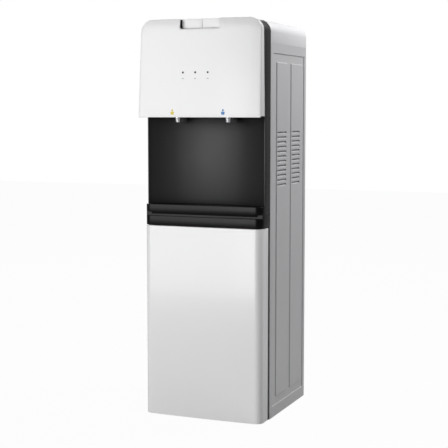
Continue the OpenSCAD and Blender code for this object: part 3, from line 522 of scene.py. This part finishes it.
rowTops = [louvreTop - k * sheet["pitch"] for k in range(sheet["rows"])]
rowsZ = [[at - sheet["slot"], at] for at in rowTops]
for side, node, name in ((-1, "side_panel_left", "left_side"), (1, "side_panel_right", "right_side")):
    out = side * high[0]
    deselect()
    bpy.ops.mesh.primitive_plane_add(size=1)
    panel = bpy.context.object
    panel.name = name
    spots = [(low[1], low[2]), (high[1], low[2]), (low[1], high[2]), (high[1], high[2])]
    for vertex, (y, z) in zip(panel.data.vertices, spots):
        vertex.co = (out, y, z)
    sliceUp(panel, 1, yField + ribs[0] + ribs[1] + columns[0] + columns[1])
    sliceUp(panel, 2, zField + zRib + [z for row in rowsZ for z in row])
    editAll(panel)
    bpy.ops.mesh.normals_make_consistent(inside=False)
    bpy.ops.object.mode_set(mode="OBJECT")
    if panel.data.polygons[0].normal[0] * side < 0:
        editAll(panel)
        bpy.ops.mesh.flip_normals()
        bpy.ops.object.mode_set(mode="OBJECT")
    inField = lambda at: yField[0] < at[1] < yField[1] and zField[0] < at[2] < zField[1]
    inRib = lambda at: zRib[0] < at[2] < zRib[1] and any(a < at[1] < b for a, b in ribs)
    inSlot = lambda at: any(a < at[1] < b for a, b in columns) and any(a < at[2] < b for a, b in rowsZ)
    selectFaces(panel, lambda at, way: inField(at))
    bpy.ops.mesh.inset(thickness=sheet["slope"], depth=-sheet["deep"])
    bpy.ops.object.mode_set(mode="OBJECT")
    sunk = lambda at: abs(at[0] - out) > sheet["deep"] * 0.9
    for rib in ribs:
        selectFaces(panel, lambda at, way: sunk(at) and inRib(at) and rib[0] < at[1] < rib[1])
        bpy.ops.mesh.inset(thickness=sheet["slope"], depth=sheet["rise"])
        bpy.ops.object.mode_set(mode="OBJECT")
    selectFaces(panel, lambda at, way: inSlot(at) and abs(way[0]) > 0.99)
    bpy.ops.mesh.inset(thickness=sheet["slotEdge"], use_individual=False)
    bpy.ops.object.mode_set(mode="OBJECT")
    tops = {index for face in panel.data.polygons if face.select for index in face.vertices}
    for index in tops:                        # each tongue leans in from its lower edge
        at = panel.data.vertices[index].co
        if any(abs(at.z - (row[1] - sheet["slotEdge"])) < 0.25 * mm for row in rowsZ):
            at.x -= side * sheet["tongue"]
    activate(panel)
    bpy.ops.object.mode_set(mode="EDIT")
    bpy.ops.mesh.select_mode(type="EDGE")
    bpy.ops.mesh.select_all(action="DESELECT")
    bpy.ops.object.mode_set(mode="OBJECT")
    for edge in panel.data.edges:
        ends = [panel.data.vertices[i].co.y for i in edge.vertices]
        edge.select = all(abs(y - low[1]) < 1e-6 for y in ends) or all(abs(y - high[1]) < 1e-6 for y in ends)
    bpy.ops.object.mode_set(mode="EDIT")
    bpy.ops.mesh.extrude_region_move(TRANSFORM_OT_translate={"value": (-side * sheet["fold"], 0, 0)})
    bpy.ops.object.mode_set(mode="OBJECT")
    soften(panel, sheet["edge"], 4, 70)
    activate(panel)
    wall = panel.modifiers.new("sheet", "SOLIDIFY")
    wall.thickness, wall.offset = sheet["thick"], -1
    bpy.ops.object.modifier_apply(modifier=wall.name)
    finishPiece(panel, powderGrey, "cabinet", [node], 24)
print("side panels made")


# mouldings that keep their CAD shape, with rounded edges

softCopy("top_cover", "top_shell", 1.6 * mm, satinGrey)
softCopy("top_lid", "lid", 0.8 * mm, glossWhite, "lid")
softCopy("head_frame", "head_band", 0.6 * mm, satinBlack)
softCopy("head_floor", "head_underside", 0.4 * mm, satinBlack)
softCopy("alcove_frame", "alcove", 0.6 * mm, satinBlack)
softCopy("tray_surround", "tray_housing", 0.8 * mm, glossBlack)
softCopy("drip_tray", "tray", 0.8 * mm, glossBlack, "tray")
softCopy("drip_grille", "grille", 0.4 * mm, glossBlack, "grille", 2)
softCopy("door_frame", "cabinet_front", 0.8 * mm, satinBlack)
softCopy("cabinet_liner", "cabinet_lining", 1 * mm, linerWhite)
softCopy("tap_bodies", "taps", 0.8 * mm, satinBlack)
softCopy("spouts", "nozzles", 0.5 * mm, chromePlate)
softCopy("paddle_hot", "hot_lever", 0.6 * mm, satinBlack, "hot_paddle")
softCopy("paddle_cold", "cold_lever", 0.6 * mm, satinBlack, "cold_paddle")
softCopy("feet", "rubber_feet", 0.8 * mm, footRubber)
softCopy("wall_spacers", "spacers", 1 * mm, satinBlack)
softCopy("drain_cap", "drain_plug", 0.8 * mm, satinBlack, "cap")
softCopy("cord_gland", "gland", 0.7 * mm, footRubber)
softCopy("switch_frame", "switch_housing", 0.6 * mm, satinBlack)
softCopy("rocker_hot", "hot_button", 0.4 * mm, rockerRed, "hot_rocker")
softCopy("rocker_cold", "cold_button", 0.4 * mm, rockerGreen, "cold_rocker")
softCopy("bottle_seat", "seat_funnel", 0.6 * mm, glossWhite)
print("mouldings made")
